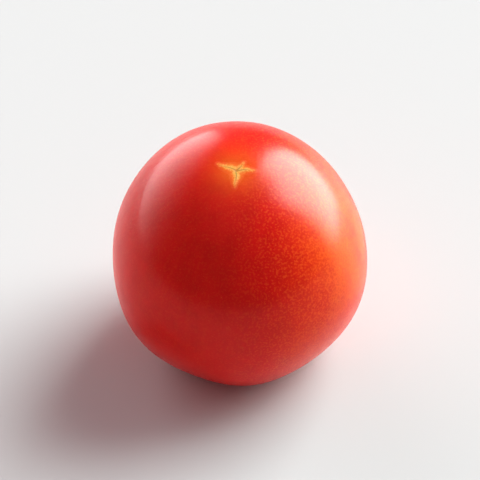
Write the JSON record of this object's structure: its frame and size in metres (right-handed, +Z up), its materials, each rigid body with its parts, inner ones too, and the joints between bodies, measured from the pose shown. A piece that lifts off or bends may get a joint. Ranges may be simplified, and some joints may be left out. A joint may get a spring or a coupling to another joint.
{
  "type": "tomato",
  "caption": "Whole ripe red tomato with its calyx picked off, resting stem end down on the flat of its shoulders; fresh produce for a kitchen, table, plate or market stall.",
  "frame": {"origin": "on the table, under the middle of the fruit's bounding box", "axes": "+Z up from the table towards the blossom end, -Y the front, towards which the blossom end leans, +X the fruit's right as seen from the front"},
  "size_m": [0.07, 0.073, 0.0653],
  "materials": {
    "tomato_skin": "smooth waxy skin with a soft gloss, deep red turning orange-red towards one side, finely flecked with gold, with a small yellow star-shaped flower scar on top and a corky stem scar underneath"
  },
  "bodies": {
    "root": {"tomato": "tomato_skin"}
  },
  "joints": []
}
